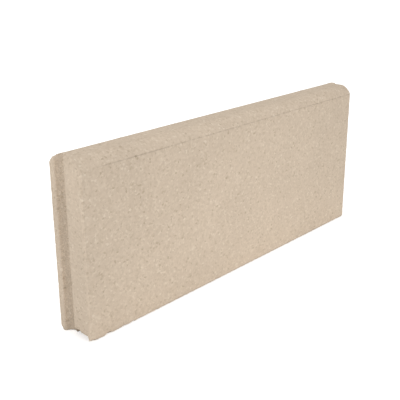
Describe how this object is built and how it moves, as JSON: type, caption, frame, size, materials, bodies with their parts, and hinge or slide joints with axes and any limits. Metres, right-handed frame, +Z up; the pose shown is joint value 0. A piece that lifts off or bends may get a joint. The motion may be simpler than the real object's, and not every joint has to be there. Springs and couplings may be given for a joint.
{
  "type": "concrete kerb stone",
  "caption": "Straight concrete kerb stone for edging, with a chamfered top, a half-round groove up one end and a matching tongue up the other.",
  "frame": {"origin": "middle of the base, half way along the laid length and half way through the thickness", "axes": "+X along the kerb towards the tongue, -Y out of the front face, +Z up"},
  "size_m": [0.5067, 0.05, 0.2],
  "materials": {
    "concrete": "dry-cast sandy beige concrete, matt, open-grained"
  },
  "bodies": {
    "root": {"kerb_stone": "concrete"}
  },
  "joints": []
}
